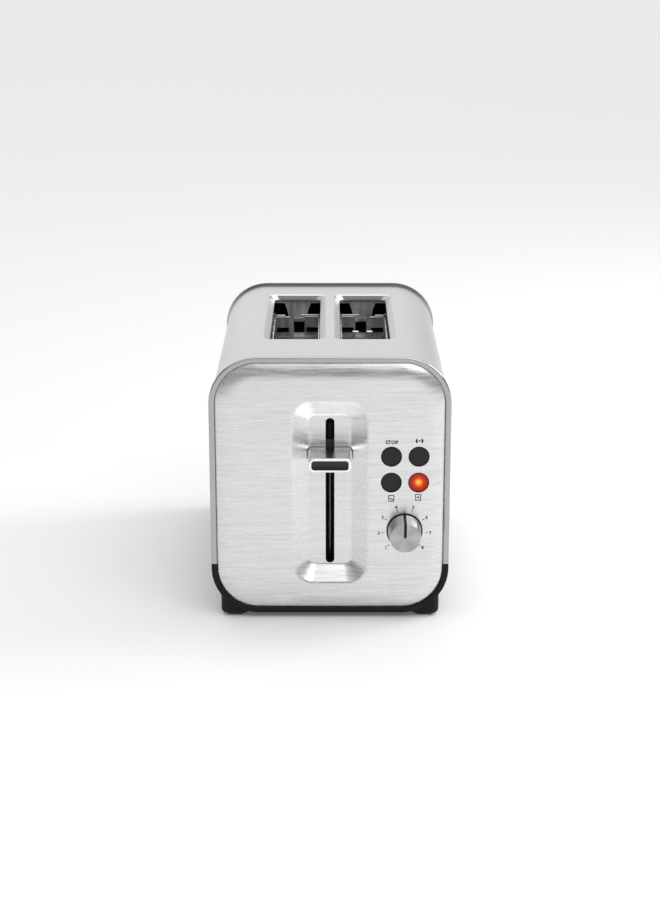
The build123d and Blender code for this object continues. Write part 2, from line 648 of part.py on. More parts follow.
with BuildPart() as guide_rod:
    with BuildSketch(level(FLOOR_TOP_Z + 1.6)):
        with Locations((0, ROD_Y)):
            Circle(ROD_RADIUS)
    extrude(amount=ROD_TOP_Z + 3 - FLOOR_TOP_Z)
    chamfer(guide_rod.faces().filter_by(Axis.Z).edges(), length=0.5)
write(guide_rod, "guide_rod")

with BuildPart() as rod_bracket:
    with Locations((0, (FRONT_Y + 22 + FRONT_WALL_Y) / 2, ROD_TOP_Z - 0.6)):
        Box(34, FRONT_WALL_Y - FRONT_Y - 22.2, 1.2)
    with Locations((0, FRONT_WALL_Y - 0.75, ROD_TOP_Z - 5)):
        Box(34, 1.2, 8.8)
    with BuildSketch(level(ROD_TOP_Z - 2)):
        with Locations((0, ROD_Y)):
            Circle(ROD_RADIUS + 0.05)
    extrude(amount=3, mode=Mode.SUBTRACT)
write(rod_bracket, "rod_bracket")

SPRING_RADIUS = 3.2
SPRING_WIRE = 0.5
SPRING_TURNS = 14
SPRING_BOTTOM_Z = RACK_Z + 0.55
SPRING_LENGTH = ROD_TOP_Z - 1.2 - 0.55 - SPRING_BOTTOM_Z

with BuildPart() as lift_spring:
    with BuildLine() as coil:
        Helix(
            pitch=SPRING_LENGTH / SPRING_TURNS,
            height=SPRING_LENGTH,
            radius=SPRING_RADIUS,
            center=(14, CARRIAGE_Y + 7, SPRING_BOTTOM_Z),
        )
    with BuildSketch(Plane(origin=coil.line @ 0, z_dir=coil.line % 0)):
        Circle(SPRING_WIRE)
    sweep(path=coil.line, is_frenet=True)
write(lift_spring, "lift_spring")

# ================================================================================================
# Latch magnet, boards and switch at the bottom of the works
# ================================================================================================
MAGNET_TOP_Z = 120.5 - 1.5 - LEVER_DROP - 0.4

with BuildPart() as magnet_core:
    with Locations((MAGNET_X, CARRIAGE_Y + 4, (FLOOR_TOP_Z + 19) / 2)):
        Box(18, 8, 19 - FLOOR_TOP_Z)
    for x in (MAGNET_X - 6.5, MAGNET_X, MAGNET_X + 6.5):
        with Locations((x, CARRIAGE_Y + 4, (15 + MAGNET_TOP_Z) / 2)):
            Box(3.5, 8, MAGNET_TOP_Z - 15)
write(magnet_core, "magnet_core")

with BuildPart() as magnet_coil:
    with BuildSketch(level(19.3)):
        with Locations((MAGNET_X, CARRIAGE_Y + 4)):
            RectangleRounded(9.2, 9.6, 1.2)
            Rectangle(3.7, 8.2, mode=Mode.SUBTRACT)
    extrude(amount=MAGNET_TOP_Z - 4 - 19.3)
write(magnet_coil, "magnet_coil")

with BuildPart() as power_board:
    with BuildSketch(facing_front(BOARD_Y, z=(FLOOR_TOP_Z + 54) / 2)):
        RectangleRounded(84, 54 - FLOOR_TOP_Z, 2)
    extrude(amount=-1.6)
write(power_board, "power_board")

with BuildPart() as mains_switch:
    with Locations((24, CARRIAGE_Y + 3.5, 32)):
        Box(16, 13, 20)
    with Locations((24, CARRIAGE_Y + 1, 42.3)):
        Box(5, 3, 2)
write(mains_switch, "mains_switch")

# ================================================================================================
# Heating chamber
# ================================================================================================
def element_slots(y):
    """Cuts the slots that hold the element boards' tabs out of a chassis wall at depth y."""
    with BuildSketch(facing_front(y - 1)) as slots:
        with Locations([(x, z) for x in (-ELEMENT_X, 0, ELEMENT_X) for z in (66, 178)]):
            Rectangle(1.2, 16.4)
    extrude(slots.sketch, amount=-PLATE - 2, mode=Mode.SUBTRACT)


with BuildPart() as front_wall:
    with BuildSketch(facing_front(FRONT_WALL_Y, z=(14 + WALL_TOP_Z) / 2)):
        Rectangle(2 * WALL_HALF_WIDTH, WALL_TOP_Z - 14)
    extrude(amount=-PLATE)
    for x in (-45, 45):
        with Locations((x, FRONT_WALL_Y + PLATE / 2, (FLOOR_TOP_Z + 14.4) / 2)):
            Box(12, PLATE, 14.4 - FLOOR_TOP_Z)
        with Locations((x, FRONT_WALL_Y - 4, FLOOR_TOP_Z + PLATE / 2)):
            Box(12, 8.1, PLATE)
    with BuildSketch(facing_front(FRONT_WALL_Y - 1, z=(66 + 176) / 2)):
        with Locations((-SLOT_X, 0), (SLOT_X, 0)):
            Rectangle(12, 176 - 66)
    extrude(amount=-PLATE - 2, mode=Mode.SUBTRACT)
    element_slots(FRONT_WALL_Y)
write(front_wall, "front_wall")

CLIP_X = SLOT_X - 1.4

with BuildPart() as rear_wall:
    with BuildSketch(facing_front(REAR_WALL_Y, z=(24 + WALL_TOP_Z) / 2)):
        Rectangle(2 * WALL_HALF_WIDTH, WALL_TOP_Z - 24)
    extrude(amount=-PLATE)
    for side in (-1, 1):
        with Locations((side * REFLECTOR_X, REAR_WALL_Y + PLATE / 2, 19)):
            Box(6, PLATE, 10)
    # windows each side of the slot, leaving a tapered tongue between them, and one under them
    with BuildSketch(facing_front(REAR_WALL_Y - 1)):
        for x in (-SLOT_X, SLOT_X):
            for side in (-1, 1):
                with BuildLine():
                    Polyline(
                        (x + side * 21.5, 189),
                        (x + side * 21.5, WALL_TOP_Z - 0.8),
                        (x + side * 11.8, WALL_TOP_Z - 0.8),
                        (x + side * 9.6, 201),
                        (x + side * 7.0, 189),
                        close=True,
                    )
                make_face()
        with Locations((-SLOT_X, 184.6), (SLOT_X, 184.6)):
            Rectangle(38, 10)
    extrude(amount=-PLATE - 2, mode=Mode.SUBTRACT)
    element_slots(REAR_WALL_Y)
write(rear_wall, "rear_wall")

# bright shelf under each pair of guard end plates, and the clip above it
with BuildPart() as chamber_shelf:
    for side in (-1, 1):
        with Locations((side * SLOT_X, REAR_WALL_Y - 2.45, 175.8)):
            Box(37, 4.9, 1.6)
        with Locations((side * CLIP_X, REAR_WALL_Y - 0.6, 191.4)):
            Box(12, 1.2, 3)
write(chamber_shelf, "chamber_shelf")

with BuildPart() as chamber_top:
    with BuildSketch(level(WALL_TOP_Z + 0.1)):
        with Locations((0, (FRONT_WALL_Y + REAR_WALL_Y + PLATE) / 2)):
            Rectangle(2 * WALL_HALF_WIDTH, REAR_WALL_Y + PLATE - FRONT_WALL_Y)
        with Locations((-SLOT_X, WELL_Y), (SLOT_X, WELL_Y)):
            RectangleRounded(WELL_THROAT[0] + 1, WELL_THROAT[1] + 0.4, 4, mode=Mode.SUBTRACT)
    extrude(amount=PLATE - 0.1)
write(chamber_top, "chamber_top")

for side, hand in ((-1, "left"), (1, "right")):
    with BuildPart() as reflector:
        with Locations((side * REFLECTOR_X, (FRONT_WALL_Y + REAR_WALL_Y + PLATE) / 2, 112)):
            Box(0.6, REAR_WALL_Y - FRONT_WALL_Y - PLATE - 0.2, 176)
        with Locations((side * (REFLECTOR_X - 3), (FRONT_WALL_Y + REAR_WALL_Y + PLATE) / 2, 200)):
            Box(6.6, REAR_WALL_Y - FRONT_WALL_Y - PLATE - 0.2, 0.6)
    write(reflector, f"reflector_{hand}")

BOARD_FRONT_Y = FRONT_WALL_Y + 3.0
BOARD_REAR_Y = REAR_WALL_Y - 7.0
BOARD_THICK = 0.8
RIBBON = 0.35
RIBBON_ZS = [80 + 14 * i for i in range(7)]  # clear of the boards' tabs

ELEMENT_XS = (-ELEMENT_X, 0, ELEMENT_X)
BOARD_MIDDLE_Y = (BOARD_FRONT_Y + BOARD_REAR_Y) / 2
BOARD_LENGTH = BOARD_REAR_Y - BOARD_FRONT_Y

with BuildPart() as element_boards:
    with Locations([(x, BOARD_MIDDLE_Y, 122) for x in ELEMENT_XS]):
        Box(BOARD_THICK, BOARD_LENGTH, 136)
    with Locations([(x, (FRONT_WALL_Y + REAR_WALL_Y) / 2, z) for x in ELEMENT_XS for z in (66, 178)]):
        Box(BOARD_THICK, REAR_WALL_Y - FRONT_WALL_Y + 5, 16)
write(element_boards, "element_boards")

with BuildPart() as heater_ribbons:
    with Locations([(x, BOARD_MIDDLE_Y, z) for x in ELEMENT_XS for z in RIBBON_ZS]):
        Box(BOARD_THICK + 0.1 + 2 * RIBBON, BOARD_LENGTH + 0.1 + 2 * RIBBON, 1.8)
        Box(BOARD_THICK + 0.1, BOARD_LENGTH + 0.1, 1.8, mode=Mode.SUBTRACT)
write(heater_ribbons, "heater_ribbons")


def wire(start, end):
    """Adds one straight guard wire to the current part."""
    with BuildPart(mode=Mode.PRIVATE) as straight:
        with BuildSketch(Plane(origin=start, z_dir=Vector(*end) - Vector(*start))):
            Circle(GUARD_WIRE)
        extrude(amount=(Vector(*end) - Vector(*start)).length)
    add(straight.part)


def bread_guard(slot_x, outer, name):
    """One side of a slot's bread cage: a wire grid, and an end plate that reaches across the slot's rear end."""
    away = 1 if slot_x > 0 else -1
    inward = -away if outer else away  # from the guard to the slot's middle
    x = slot_x - inward * GUARD_OFFSET
    upright_x = x - inward * 1.3
    with BuildPart() as grid:
        for z in (GUARD_BOTTOM_Z, 131.0, GUARD_TOP_Z):
            wire((x, GUARD_FRONT_Y - 2, z), (x, GUARD_REAR_Y + 2, z))
        for i in range(7):
            y = GUARD_FRONT_Y + i * (GUARD_REAR_Y - GUARD_FRONT_Y) / 6
            wire((upright_x, y, GUARD_BOTTOM_Z - 2), (upright_x, y, GUARD_TOP_Z + 1))
    write(grid, f"bread_guard_{name}")

    plate_y = FRONT_Y + (228.0 if outer else 229.8)
    plate_start_y = GUARD_REAR_Y + 2.1
    plate_reach = 16.4 if outer else 13.6
    bar_reach = 8.2 if outer else 16.5
    with BuildPart() as end_plate:
        with Locations((x, (plate_start_y + plate_y + 0.6) / 2, 187)):
            Box(0.6, plate_y + 0.6 - plate_start_y, 17)
        with Locations((x + inward * (plate_reach / 2 - 0.3), plate_y + 0.3, 187)):
            Box(plate_reach, 0.6, 17)
        with Locations((x + inward * 6.2, plate_y + 0.3, 183.4)):
            Box(11, 2, 5, mode=Mode.SUBTRACT)
        # rolled top edge, and the cross bar above it
        wire((x, plate_y + 0.1, 195.5), (x + inward * 12.6, plate_y + 0.1, 195.5))
        wire((x, plate_y + 0.1, 197.0), (x + inward * bar_reach, plate_y + 0.1, 197.0))
        with Locations((x, plate_y - 0.2, 196.2)):
            Box(0.6, 3, 2.6)
    write(end_plate, f"guard_plate_{name}")


for side, hand in ((-1, "left"), (1, "right")):
    bread_guard(side * SLOT_X, True, f"{hand}_outer")
    bread_guard(side * SLOT_X, False, f"{hand}_inner")

# ================================================================================================
# Crumb tray, cord gland, terminals and screws
# ================================================================================================
TRAY_FRONT_Y = FRONT_WALL_Y + 6.0
TRAY_REAR_Y = REAR_Y - 8.0

with BuildPart() as crumb_tray:
    with BuildSketch(level(TRAY_Z)):
        with Locations((0, (TRAY_FRONT_Y + TRAY_REAR_Y) / 2)):
            RectangleRounded(2 * TRAY_HALF_WIDTH, TRAY_REAR_Y - TRAY_FRONT_Y, 4)
    extrude(amount=7)
    with BuildSketch(level(TRAY_Z + SHEET)):
        with Locations((0, (TRAY_FRONT_Y + TRAY_REAR_Y) / 2)):
            RectangleRounded(2 * (TRAY_HALF_WIDTH - SHEET), TRAY_REAR_Y - TRAY_FRONT_Y - 2 * SHEET, 3.2)
    extrude(amount=7, mode=Mode.SUBTRACT)
write(crumb_tray, "crumb_tray")

with BuildPart() as tray_handle:
    with BuildSketch(facing_front(TRAY_REAR_Y + 0.1, z=TRAY_DOOR_Z)):
        RectangleRounded(TRAY_DOOR[0] - 1, TRAY_DOOR[1] - 1, 3)
    extrude(amount=-9)
    fillet(tray_handle.faces().sort_by(Axis.Y)[-1].edges(), radius=1)
    with BuildSketch(facing_front(REAR_Y - 2, z=TRAY_DOOR_Z)):
        RectangleRounded(56, TRAY_DOOR[1] - 1, 3)
    extrude(amount=-5)
    fillet(tray_handle.faces().sort_by(Axis.Y)[-1].edges(), radius=1.5)
write(tray_handle, "tray_handle")

GLAND_OUT_Y = REAR_Y + 1.8
GLAND_IN_Y = REAR_Y - 16.0

with BuildPart() as cord_gland:
    gland_steps = ((7.5, REAR_Y + 0.05, GLAND_OUT_Y), (5.4, REAR_Y - 4, REAR_Y + 1), (6.6, GLAND_IN_Y, REAR_Y - 2.6))
    for radius, start, end in gland_steps:
        with BuildSketch(facing_front(start)):
            with Locations((GLAND_X, GLAND_Z)):
                Circle(radius)
        extrude(amount=start - end)
    fillet(cord_gland.faces().sort_by(Axis.Y)[-1].edges(), radius=1)
    with BuildSketch(facing_front(GLAND_IN_Y - 1)):
        with Locations((GLAND_X, GLAND_Z)):
            Circle(GLAND_BORE)
    extrude(amount=-20, mode=Mode.SUBTRACT)
write(cord_gland, "cord_gland")

with BuildPart() as terminal_block:
    with Locations((48, REAR_WALL_Y + PLATE + 6.1, 46)):
        Box(30, 12, 12)
    with Locations([(48 + 9 * i, REAR_WALL_Y + PLATE + 6.1, 52) for i in (-1, 0, 1)]):
        Cylinder(2.6, 3, mode=Mode.SUBTRACT)
write(terminal_block, "terminal_block")
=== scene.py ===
"""Looks of the two-slot pop-up toaster: brushed and bright metals, black plastics, the printed labels,
the lift spring, and a pale studio round it. Metres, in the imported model's frame."""

import json
import math

import bmesh
import bpy
from mathutils import Matrix, Vector
from mathutils.bvhtree import BVHTree


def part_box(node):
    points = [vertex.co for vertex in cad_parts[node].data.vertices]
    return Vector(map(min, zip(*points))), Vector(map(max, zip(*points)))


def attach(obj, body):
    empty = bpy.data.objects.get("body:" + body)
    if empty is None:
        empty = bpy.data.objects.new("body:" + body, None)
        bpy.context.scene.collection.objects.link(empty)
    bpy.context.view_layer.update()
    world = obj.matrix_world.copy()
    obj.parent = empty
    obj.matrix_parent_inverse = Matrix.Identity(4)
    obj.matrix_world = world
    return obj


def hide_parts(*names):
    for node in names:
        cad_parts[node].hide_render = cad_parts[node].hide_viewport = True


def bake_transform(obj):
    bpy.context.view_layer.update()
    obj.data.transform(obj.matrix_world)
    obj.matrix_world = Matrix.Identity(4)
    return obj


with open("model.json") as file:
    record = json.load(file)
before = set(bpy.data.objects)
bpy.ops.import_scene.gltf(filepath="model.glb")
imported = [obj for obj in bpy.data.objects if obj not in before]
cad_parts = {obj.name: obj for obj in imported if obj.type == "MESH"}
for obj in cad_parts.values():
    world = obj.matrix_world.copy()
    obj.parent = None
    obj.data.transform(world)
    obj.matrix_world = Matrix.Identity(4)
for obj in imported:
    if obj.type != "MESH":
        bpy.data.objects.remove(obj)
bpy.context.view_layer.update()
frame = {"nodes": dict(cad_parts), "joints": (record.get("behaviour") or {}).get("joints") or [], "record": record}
nodes = frame["nodes"]

MM = 0.001
JOINTS = {joint["name"]: joint for joint in frame["joints"]}
DIAL = Vector(JOINTS["dial_turn"]["pos_m"])


def middle(node):
    """The centre of a CAD node's box."""
    low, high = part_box(node)
    return (low + high) / 2


# ================================================================================================
# Shader helpers
# ================================================================================================
class Look:
    """A material being put together: its Principled shader, and short calls to add nodes to it."""

    def __init__(self, name, colour, metallic=0.0, roughness=0.5, **sockets):
        self.material = bpy.data.materials.new(name)
        self.material.use_nodes = True
        self.tree = self.material.node_tree
        self.shader = self.tree.nodes["Principled BSDF"]
        self.shader.inputs["Base Color"].default_value = (*colour, 1)
        self.shader.inputs["Metallic"].default_value = metallic
        self.shader.inputs["Roughness"].default_value = roughness
        for socket, value in sockets.items():
            self.shader.inputs[socket.replace("_", " ")].default_value = value
        self.material.diffuse_color = (*colour, 1)

    def add(self, kind, inputs=None, **settings):
        """Adds a node. Inputs are given by name or number, as values or as another node's output."""
        made = self.tree.nodes.new("ShaderNode" + kind)
        for key, value in settings.items():
            setattr(made, key, value)
        for key, value in (inputs or {}).items():
            if isinstance(value, bpy.types.NodeSocket):
                self.tree.links.new(value, made.inputs[key])
            else:
                made.inputs[key].default_value = value
        return made

    def feed(self, socket, output):
        self.tree.links.new(output, self.shader.inputs[socket])

    def place(self):
        """Object coordinates, which are the row frame's metres on a CAD node."""
        return self.add("TexCoord").outputs["Object"]

    def stretched(self, scale, detail=3.0, roughness=0.6, seed=(0, 0, 0)):
        """Noise whose grain is scale[i] cycles per metre along each axis, about 0.5 in the middle."""
        squeezed = self.add("Mapping", {"Vector": self.place(), "Scale": scale, "Location": seed})
        inputs = {"Vector": squeezed.outputs[0], "Scale": 1.0, "Detail": detail, "Roughness": roughness}
        return self.add("TexNoise", inputs).outputs["Fac"]

    def spread(self, value, low, high, start=0.3, end=0.7):
        """Maps a noise value to the range low to high."""
        inputs = {"Value": value, "From Min": start, "From Max": end, "To Min": low, "To Max": high}
        return self.add("MapRange", inputs).outputs["Result"]

    def tint(self, value, dark, light, start=0.3, end=0.7):
        """Maps a noise value to a colour between dark and light."""
        ramp = self.add("ValToRGB", {"Fac": value})
        ramp.color_ramp.elements[0].position = start
        ramp.color_ramp.elements[0].color = (*dark, 1)
        ramp.color_ramp.elements[1].position = end
        ramp.color_ramp.elements[1].color = (*light, 1)
        return ramp.outputs["Color"]

    def bump(self, height, strength, distance):
        inputs = {"Height": height, "Strength": strength, "Distance": distance}
        self.feed("Normal", self.add("Bump", inputs).outputs["Normal"])

    def highlight_along(self, vector):
        """Stretches highlights along a direction given in the piece's own space."""
        turned = self.add("VectorTransform", {"Vector": vector}, vector_type="VECTOR")
        turned.convert_from = "OBJECT"
        turned.convert_to = "WORLD"
        self.feed("Tangent", turned.outputs["Vector"])


def grey(value):
    return (value, value, value)


def shade(colour, factor):
    return tuple(min(1.0, channel * factor) for channel in colour)


def brushed(name, colour, brush_axis, roughness, anisotropic, contrast, relief):
    """Brushed sheet metal, scratched along one axis: hairlines, longer streaks, faint handling marks."""
    look = Look(name, colour, metallic=1.0, roughness=roughness, Anisotropic=anisotropic)
    # cycles per metre: many across the scratches, few along them, and few round the soft edges
    fine = [1500.0, 240.0, 1500.0]
    fine[brush_axis] = 40.0
    broad = [420.0, 60.0, 420.0]
    broad[brush_axis] = 16.0
    hairlines = look.stretched(fine, detail=2.0)
    streaks = look.stretched(broad, detail=4.0, roughness=0.7, seed=(3, 1, 7))
    mixed = look.add("Math", {0: hairlines, 1: streaks}, operation="ADD")
    grain = look.add("Math", {0: mixed.outputs[0], 1: 0.5}, operation="MULTIPLY").outputs[0]
    cloudy = look.stretched((9.0, 9.0, 9.0), detail=2.0, seed=(5, 5, 5))
    dark, light = shade(colour, 1 - contrast), shade(colour, 1 + contrast / 2)
    look.feed("Base Color", look.tint(grain, dark, light, 0.38, 0.62))
    rough = look.spread(grain, roughness - contrast * 0.3, roughness + contrast * 0.45, 0.38, 0.62)
    wear = look.spread(cloudy, -0.02, 0.02)
    look.feed("Roughness", look.add("Math", {0: rough, 1: wear}, operation="ADD").outputs[0])
    look.bump(grain, 0.25, relief)
    if brush_axis == 0:
        look.highlight_along((0, 0, 1))
    else:
        # square to the scratches and the surface; the tilt keeps it from vanishing on faces square to Y
        geometry = look.add("NewGeometry")
        inputs = {0: geometry.outputs["Normal"], 1: (0.05, 1, 0.07)}
        look.feed("Tangent", look.add("VectorMath", inputs, operation="CROSS_PRODUCT").outputs[0])
    return look.material


def bright(name, colour, roughness=0.1):
    """Polished or plated metal with faint cloudiness and hairline scratches."""
    look = Look(name, colour, metallic=1.0, roughness=roughness)
    cloudy = look.stretched((60.0, 60.0, 60.0), detail=4.0)
    look.feed("Roughness", look.spread(cloudy, roughness - 0.03, roughness + 0.05))
    look.feed("Base Color", look.tint(cloudy, shade(colour, 0.96), shade(colour, 1.02)))
    scratches = look.stretched((900.0, 40.0, 900.0), detail=1.0)
    look.bump(scratches, 0.05, 0.00003)
    return look.material


def sheet(name, colour, roughness=0.42):
    """Plain chassis sheet, rolled grain one way, with the mottled spangle of zinc."""
    look = Look(name, colour, metallic=0.9, roughness=roughness)
    rolled = look.stretched((260.0, 260.0, 20.0), detail=4.0)
    squeezed = look.add("Mapping", {"Vector": look.place(), "Scale": (90.0, 90.0, 90.0)})
    spangle = look.add("TexVoronoi", {"Vector": squeezed.outputs[0], "Scale": 1.0}).outputs["Color"]
    spangle_value = look.add("SeparateColor", {"Color": spangle}).outputs["Red"]
    mottling = look.spread(spangle_value, -0.08, 0.08, 0, 1)
    mix = look.add("Math", {0: rolled, 1: mottling}, operation="ADD").outputs[0]
    look.feed("Base Color", look.tint(mix, shade(colour, 0.82), shade(colour, 1.12)))
    look.feed("Roughness", look.spread(mix, roughness - 0.08, roughness + 0.12))
    look.bump(rolled, 0.15, 0.0001)
    return look.material


def moulded(name, colour, roughness=0.45, grain=2600.0, depth=0.00004, **sockets):
    """Moulded plastic or rubber with a fine spark-eroded texture and slight handling wear."""
    look = Look(name, colour, roughness=roughness, **sockets)
    texture = look.stretched((grain, grain, grain), detail=2.0)
    worn = look.stretched((25.0, 25.0, 25.0), detail=3.0, seed=(2, 4, 6))
    look.feed("Base Color", look.tint(worn, shade(colour, 0.85), shade(colour, 1.2)))
    look.feed("Roughness", look.spread(worn, roughness - 0.05, roughness + 0.08))
    look.bump(texture, 0.5, depth)
    return look.material


def from_centre(look, centre):
    """Distance from an axis through centre along Y, in metres, and the offset vector square to it."""
    offset = look.add("VectorMath", {0: look.place(), 1: tuple(centre)}, operation="SUBTRACT")
    flat = look.add("VectorMath", {0: offset.outputs[0], 1: (1, 0, 1)}, operation="MULTIPLY")
    length = look.add("VectorMath", {0: flat.outputs[0]}, operation="LENGTH")
    return length.outputs["Value"], flat.outputs[0]


def spun(name, colour, centre, roughness=0.42):
    """Metal turned on a lathe about a Y axis: fine rings, with highlights that fan out from the middle."""
    look = Look(name, colour, metallic=1.0, roughness=roughness, Anisotropic=0.92)
    radius, outward = from_centre(look, centre)
    inputs = {"W": radius, "Scale": 5200.0, "Detail": 2.0}
    rings = look.add("TexNoise", inputs, noise_dimensions="1D").outputs["Fac"]
    look.feed("Base Color", look.tint(rings, shade(colour, 0.93), shade(colour, 1.03), 0.4, 0.6))
    look.feed("Roughness", look.spread(rings, roughness - 0.04, roughness + 0.06, 0.4, 0.6))
    look.bump(rings, 0.3, 0.00003)
    look.highlight_along(outward)
    return look.material


def lit_button(centre, radius):
    """A translucent orange cap lit from behind: hot in the middle, deep red at its rim."""
    look = Look("button_lit", (0.20, 0.012, 0.005), roughness=0.4, Specular_IOR_Level=0.15)
    distance, _ = from_centre(look, centre)
    share = look.add("Math", {0: distance, 1: radius}, operation="DIVIDE").outputs[0]
    ramp = look.add("ValToRGB", {"Fac": share})
    stops = (
        (0.00, (1.00, 0.78, 0.18)),
        (0.20, (1.00, 0.42, 0.06)),
        (0.46, (0.56, 0.055, 0.012)),
        (0.78, (0.27, 0.016, 0.006)),
        (1.00, (0.12, 0.007, 0.004)),
    )
    for element, (position, colour) in zip(ramp.color_ramp.elements, (stops[0], stops[-1])):
        element.position = position
        element.color = (*colour, 1)
    for position, colour in stops[1:-1]:
        ramp.color_ramp.elements.new(position).color = (*colour, 1)
    look.feed("Emission Color", ramp.outputs["Color"])
    look.shader.inputs["Emission Strength"].default_value = 0.85
    texture = look.stretched((1800.0, 1800.0, 1800.0), detail=2.0)
    look.bump(texture, 0.2, 0.00002)
    return look.material


def mica():
    """Mineral board: warm grey with flakes that catch the light."""
    look = Look("mica", (0.30, 0.26, 0.20), roughness=0.45)
    squeezed = look.add("Mapping", {"Vector": look.place(), "Scale": (420.0, 420.0, 420.0)})
    flakes = look.add("TexVoronoi", {"Vector": squeezed.outputs[0], "Scale": 1.0}).outputs["Color"]
    flake = look.add("SeparateColor", {"Color": flakes}).outputs["Green"]
    look.feed("Base Color", look.tint(flake, (0.20, 0.17, 0.13), (0.40, 0.35, 0.27), 0, 1))
    look.feed("Roughness", look.spread(flake, 0.3, 0.6, 0, 1))
    look.bump(flake, 0.2, 0.0001)
    return look.material


def circuit_board():
    """Green solder mask with the faint relief of the tracks under it, and a faint painted green glow that stands
    in for the light of the lamps on it.
    """
    look = Look("board_green", (0.01, 0.16, 0.07), roughness=0.32)
    # painted glow: a faint green emission lights the board itself, though the board is no lamp
    look.shader.inputs["Emission Color"].default_value = (0.10, 0.60, 0.32, 1)
    look.shader.inputs["Emission Strength"].default_value = 0.02
    squeezed = look.add("Mapping", {"Vector": look.place(), "Scale": (240.0, 240.0, 240.0)})
    inputs = {"Vector": squeezed.outputs[0], "Scale": 1.0}
    tracks = look.add("TexVoronoi", inputs, distance="CHEBYCHEV").outputs["Distance"]
    look.feed("Base Color", look.tint(tracks, (0.006, 0.12, 0.05), (0.02, 0.24, 0.10), 0.42, 0.5))
    look.bump(tracks, 0.3, 0.0001)
    return look.material


def wound_copper():
    """Enamelled wire in close horizontal turns."""
    look = Look("coil_copper", (0.55, 0.2, 0.08), metallic=0.8, roughness=0.35)
    inputs = {"Vector": look.place(), "Scale": 420.0, "Distortion": 0.6}
    turns = look.add("TexWave", inputs, bands_direction="Z").outputs["Fac"]
    look.feed("Base Color", look.tint(turns, (0.25, 0.07, 0.03), (0.62, 0.25, 0.1), 0.1, 0.8))
    look.bump(turns, 0.8, 0.0002)
    return look.material


# ================================================================================================
# Materials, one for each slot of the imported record
# ================================================================================================
BUTTON_RADIUS = 7.85 * MM

LOOKS = {
    "case_steel": brushed(
        "case_steel",
        (0.60, 0.60, 0.595),
        brush_axis=1,
        roughness=0.32,
        anisotropic=0.5,
        contrast=0.03,
        relief=0.000008,
    ),
    "panel_steel": brushed(
        "panel_steel",
        (0.77, 0.77, 0.765),
        brush_axis=0,
        roughness=0.27,
        anisotropic=0.6,
        contrast=0.16,
        relief=0.00004,
    ),
    "frame_chrome": bright("frame_chrome", (0.42, 0.422, 0.425), roughness=0.12),
    "base_black": moulded("base_black", grey(0.006), roughness=0.45, Specular_IOR_Level=0.2),
    "foot_rubber": moulded("foot_rubber", grey(0.008), roughness=0.8, grain=1500.0, Specular_IOR_Level=0.2),
    "carrier_black": moulded("carrier_black", grey(0.005), roughness=0.6, Specular_IOR_Level=0.2),
    "button_dark": moulded("button_dark", grey(0.016), roughness=0.45, grain=1800.0, Specular_IOR_Level=0.25),
    "button_lit": lit_button(middle("defrost_button"), BUTTON_RADIUS),
    "knob_steel": spun("knob_steel", (0.52, 0.52, 0.515), DIAL),
    "mark_black": moulded("mark_black", grey(0.006), roughness=0.5, Specular_IOR_Level=0.2),
    "lever_chrome": bright("lever_chrome", (0.90, 0.90, 0.905), roughness=0.2),
    "lever_black": moulded("lever_black", grey(0.012), roughness=0.3, depth=0.00001, Specular_IOR_Level=0.4),
    "works_steel": bright("works_steel", (0.30, 0.30, 0.305), roughness=0.42),
    "chassis_steel": sheet("chassis_steel", (0.60, 0.60, 0.605)),
    "guard_steel": bright("guard_steel", (0.86, 0.86, 0.86), roughness=0.2),
    "plate_steel": sheet("plate_steel", (0.52, 0.52, 0.525), roughness=0.38),
    "mica": mica(),
    "heater_ribbon": sheet("heater_ribbon", (0.20, 0.17, 0.15), roughness=0.5),
    "board_green": circuit_board(),
    "switch_black": moulded("switch_black", grey(0.012), roughness=0.4, Specular_IOR_Level=0.3),
    "led_clear": moulded("led_clear", (0.55, 0.2, 0.08), roughness=0.15, depth=0.00001),
    "coil_copper": wound_copper(),
    "core_steel": sheet("core_steel", (0.22, 0.22, 0.225), roughness=0.45),
    "slider_plastic": moulded("slider_plastic", grey(0.03), roughness=0.45),
    "spring_steel": bright("spring_steel", (0.55, 0.55, 0.56), roughness=0.2),
    "terminal_cream": moulded("terminal_cream", (0.55, 0.5, 0.38), roughness=0.4),
    "screw_zinc": bright("screw_zinc", (0.5, 0.5, 0.48), roughness=0.28),
}

slot_of = {part["node"]: part["material_slot"] for part in frame["record"]["subparts"]}
for name, node in nodes.items():
    node.data.materials.clear()
    node.data.materials.append(LOOKS[slot_of[name]])


# ================================================================================================
# Labels printed on the front panel
# ================================================================================================
panel = nodes["front_panel"]
PANEL_TREE = BVHTree.FromPolygons(
    [vertex.co for vertex in panel.data.vertices], [face.vertices for face in panel.data.polygons]
)
INK = 0.03 * MM  # thickness of the print
CAPITAL_SHARE = 0.7  # a capital letter's height as a share of the font's size
BOLDER = 0.05  # how far the letters are thickened, as a share of their height
LINE = 0.65 * MM  # width of the icons' lines
THIN_LINE = 0.4 * MM


def finish_piece(name, mesh, slot, body, smooth=False):
    """Makes an object from a bmesh in the row frame, gives it its slot's look and puts it on a body."""
    data = bpy.data.meshes.new(name)
    bmesh.ops.recalc_face_normals(mesh, faces=mesh.faces)
    mesh.to_mesh(data)
    mesh.free()
    piece = bpy.data.objects.new(name, data)
    bpy.context.scene.collection.objects.link(piece)
    data.materials.append(LOOKS[slot])
    for face in data.polygons:
        face.use_smooth = smooth
    if body:
        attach(piece, body)
    return piece


def panel_y(x, z):
    """Where the front panel's outer face is, above the point (x, z) of the front."""
    hit, _, _, _ = PANEL_TREE.ray_cast(Vector((x, -1.0, z)), Vector((0, 1, 0)))
    return hit.y


